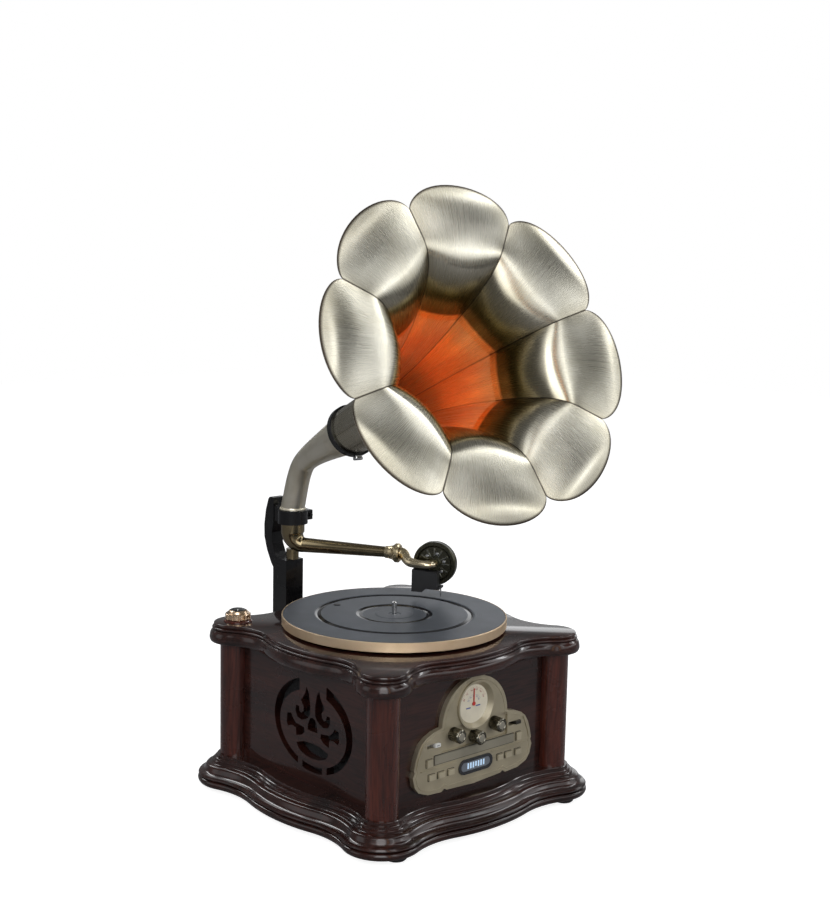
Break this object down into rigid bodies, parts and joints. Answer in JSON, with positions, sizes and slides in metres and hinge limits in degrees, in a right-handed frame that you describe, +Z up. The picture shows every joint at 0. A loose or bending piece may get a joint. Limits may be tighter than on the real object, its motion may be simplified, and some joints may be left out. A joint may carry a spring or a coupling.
{
  "type": "record player",
  "caption": "Record player in a moulded wooden case with radio and disc controls, a belt-driven platter, a gooseneck tonearm and a petalled horn on a rear bracket.",
  "frame": {"origin": "on the surface that the feet stand on, under the axis of the platter", "axes": "+Z up along the platter's axis, +Y to the rear where the bracket stands, -Y to the control plate, +X to the right seen from the front"},
  "size_m": [0.4758, 0.5785, 0.8037],
  "materials": {
    "lacquered_wood": "gloss lacquer over dark reddish hardwood",
    "column_wood": "gloss lacquer over redder hardwood",
    "black_plastic": "satin",
    "black_iron": "satin black paint",
    "black_cloth": "woven speaker cloth",
    "steel": "plain",
    "champagne": "metallic lacquer",
    "ivory": "gloss",
    "dial_red": "satin",
    "window": "tinted",
    "board_green": "printed board",
    "brass": "polished, slightly aged",
    "pale_brass": "pale polished plate",
    "nickel": "polished antique petal sheet",
    "copper": "polished copper-coloured sheet",
    "mat_rubber": "matte with gloss rings",
    "belt_rubber": "matte",
    "dark_bronze": "dark bronze enamel"
  },
  "bodies": {
    "case": {"feet": "black_plastic", "plinth": "lacquered_wood", "corner_columns": "column_wood", "front_panel": "lacquered_wood", "left_panel": "lacquered_wood", "right_panel": "lacquered_wood", "rear_panel": "lacquered_wood", "top_board": "lacquered_wood", "grille_cloths": "black_cloth", "speakers": "black_iron", "control_fascia": "champagne", "dial_face": "ivory", "display_bezel": "black_plastic", "display_window": "window", "disc_drive": "steel", "circuit_boards": "board_green", "transformer": "steel", "rear_terminals": "black_plastic", "speed_knob_base": "black_plastic", "spindle": "steel", "motor": "steel", "drive_belt": "belt_rubber", "bracket": "black_iron", "collar_clamp": "black_iron"},
    "platter": {"platter": "brass", "platter_mat": "mat_rubber"},
    "pulley": {"motor_pulley": "brass"},
    "tonearm": {"tonearm": "pale_brass", "arm_ferrule": "brass"},
    "soundbox": {"gooseneck": "brass", "soundbox": "dark_bronze", "headshell": "black_plastic", "stylus": "steel"},
    "horn": {"horn_neck": "pale_brass", "neck_ring": "black_iron", "horn_throat": "copper", "petal_1": "nickel", "petal_2": "nickel", "petal_3": "nickel", "petal_4": "nickel", "petal_5": "nickel", "petal_6": "nickel", "petal_7": "nickel", "petal_8": "nickel"},
    "speed_knob": {"speed_knob": "brass"},
    "volume_knob": {"volume_knob": "pale_brass"},
    "function_knob": {"function_knob": "pale_brass"},
    "tuning_knob": {"tuning_knob": "pale_brass"},
    "dial_pointer": {"dial_pointer": "dial_red"},
    "band_switch": {"band_switch": "ivory"},
    "mode_switch": {"mode_switch": "ivory"},
    "disc_tray": {"disc_tray": "champagne"},
    "key_1": {"key_1": "pale_brass"},
    "key_2": {"key_2": "pale_brass"},
    "key_3": {"key_3": "pale_brass"},
    "key_4": {"key_4": "pale_brass"},
    "key_5": {"key_5": "pale_brass"},
    "key_6": {"key_6": "pale_brass"},
    "key_7": {"key_7": "pale_brass"},
    "key_8": {"key_8": "pale_brass"}
  },
  "joints": [
    {"name": "platter_spin", "type": "hinge", "parent": "case", "child": "platter", "pos_m": [0, 0, 0.24], "axis": [0, 0, 1], "continuous": true},
    {"name": "pulley_spin", "type": "hinge", "parent": "case", "child": "pulley", "pos_m": [-0.07778, -0.07778, 0.234], "axis": [0, 0, 1], "continuous": true},
    {"name": "arm_swing", "type": "hinge", "parent": "case", "child": "tonearm", "pos_m": [0, 0.22, 0.3], "axis": [0, 0, 1], "range_deg": [-14, 20]},
    {"name": "soundbox_turn", "type": "hinge", "parent": "tonearm", "child": "soundbox", "pos_m": [0, 0.22, 0.3025], "axis": [-0.4985, 0.8669, 0], "range_deg": [0, 90]},
    {"name": "horn_swivel", "type": "hinge", "parent": "case", "child": "horn", "pos_m": [0, 0.22, 0.36], "axis": [0, 0, 1], "range_deg": [-45, 45]},
    {"name": "speed_turn", "type": "hinge", "parent": "case", "child": "speed_knob", "pos_m": [-0.148, 0.148, 0.232], "axis": [0, 0, 1], "range_deg": [-45, 45]},
    {"name": "volume_turn", "type": "hinge", "parent": "case", "child": "volume_knob", "pos_m": [-0.036, -0.16, 0.126], "axis": [0, 1, 0], "range_deg": [-140, 140]},
    {"name": "function_turn", "type": "hinge", "parent": "case", "child": "function_knob", "pos_m": [0, -0.16, 0.1165], "axis": [0, 1, 0], "range_deg": [-60, 60]},
    {"name": "tuning_turn", "type": "hinge", "parent": "case", "child": "tuning_knob", "pos_m": [0.036, -0.16, 0.126], "axis": [0, 1, 0], "range_deg": [-140, 140]},
    {"name": "pointer_turn", "type": "hinge", "parent": "case", "child": "dial_pointer", "pos_m": [0, -0.154, 0.158], "axis": [0, 1, 0], "range_deg": [-72, 72]},
    {"name": "band_slide", "type": "slide", "parent": "case", "child": "band_switch", "axis": [1, 0, 0], "range_m": [-0.01, 0]},
    {"name": "mode_slide", "type": "slide", "parent": "case", "child": "mode_switch", "axis": [1, 0, 0], "range_m": [-0.01, 0]},
    {"name": "tray_slide", "type": "slide", "parent": "case", "child": "disc_tray", "axis": [0, -1, 0], "range_m": [0, 0.13]},
    {"name": "key_1_press", "type": "slide", "parent": "case", "child": "key_1", "axis": [0, 1, 0], "range_m": [0, 0.002], "stiffness_N_per_m": 200, "springref_m": -0.001},
    {"name": "key_2_press", "type": "slide", "parent": "case", "child": "key_2", "axis": [0, 1, 0], "range_m": [0, 0.002], "stiffness_N_per_m": 200, "springref_m": -0.001},
    {"name": "key_3_press", "type": "slide", "parent": "case", "child": "key_3", "axis": [0, 1, 0], "range_m": [0, 0.002], "stiffness_N_per_m": 200, "springref_m": -0.001},
    {"name": "key_4_press", "type": "slide", "parent": "case", "child": "key_4", "axis": [0, 1, 0], "range_m": [0, 0.002], "stiffness_N_per_m": 200, "springref_m": -0.001},
    {"name": "key_5_press", "type": "slide", "parent": "case", "child": "key_5", "axis": [0, 1, 0], "range_m": [0, 0.002], "stiffness_N_per_m": 200, "springref_m": -0.001},
    {"name": "key_6_press", "type": "slide", "parent": "case", "child": "key_6", "axis": [0, 1, 0], "range_m": [0, 0.002], "stiffness_N_per_m": 200, "springref_m": -0.001},
    {"name": "key_7_press", "type": "slide", "parent": "case", "child": "key_7", "axis": [0, 1, 0], "range_m": [0, 0.002], "stiffness_N_per_m": 200, "springref_m": -0.001},
    {"name": "key_8_press", "type": "slide", "parent": "case", "child": "key_8", "axis": [0, 1, 0], "range_m": [0, 0.002], "stiffness_N_per_m": 200, "springref_m": -0.001}
  ],
  "couplings": [
    {"joint": "pulley_spin", "follows": "platter_spin", "ratio": 10.667},
    {"joint": "pointer_turn", "follows": "tuning_turn", "ratio": 0.5}
  ]
}
